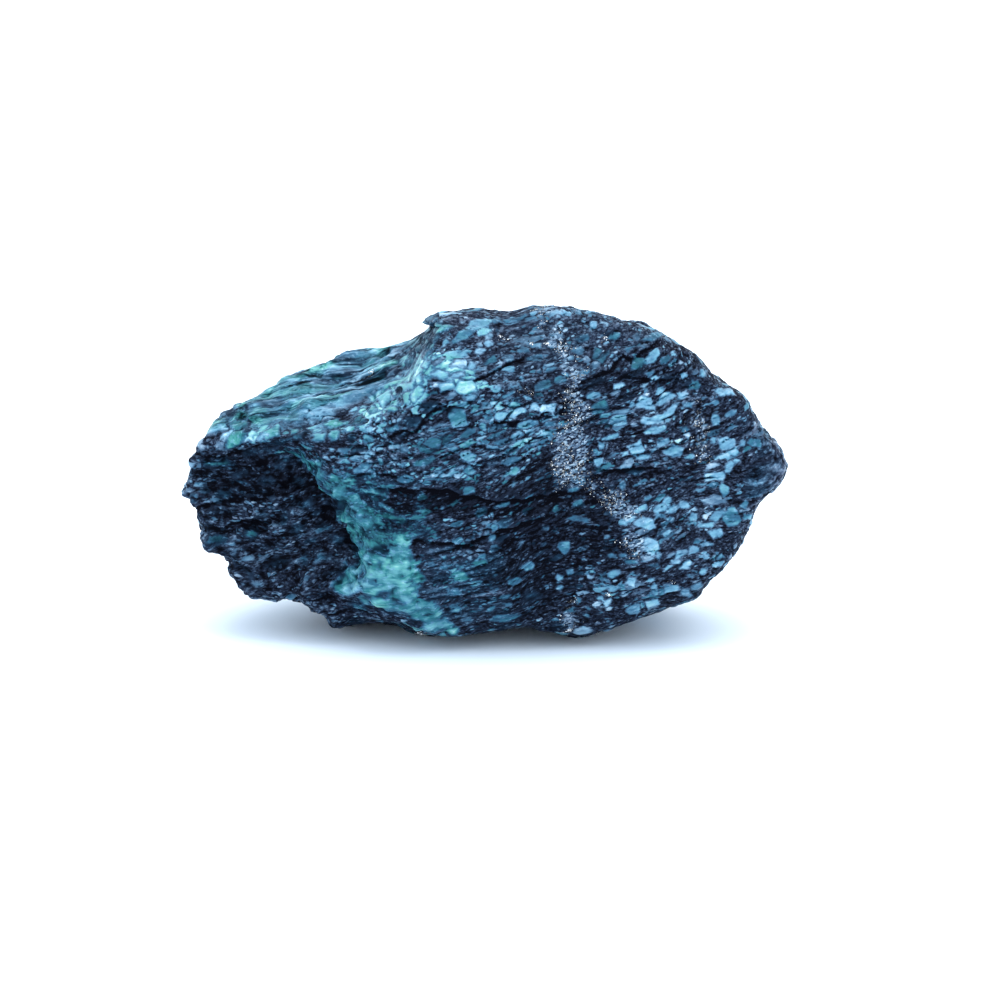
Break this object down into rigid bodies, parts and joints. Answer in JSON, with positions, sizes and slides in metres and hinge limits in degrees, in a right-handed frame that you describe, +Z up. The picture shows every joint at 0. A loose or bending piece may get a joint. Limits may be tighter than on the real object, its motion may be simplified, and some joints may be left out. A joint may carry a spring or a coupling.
{
  "type": "raw variscite stone",
  "caption": "Rough broken stone of variscite, blue-green grains in a dark matrix, with a broken hollow, a split slope and a pointed end, lying on a flat underside.",
  "frame": {"origin": "middle of the stone's bounding box, on the level its flat underside rests on", "axes": "+X along the stone to its pointed end, +Y to its worn back, +Z up; the broken front faces -Y"},
  "size_m": [0.0604, 0.0312, 0.0333],
  "materials": {
    "stone": "satin"
  },
  "bodies": {
    "root": {"stone": "stone"}
  },
  "joints": []
}
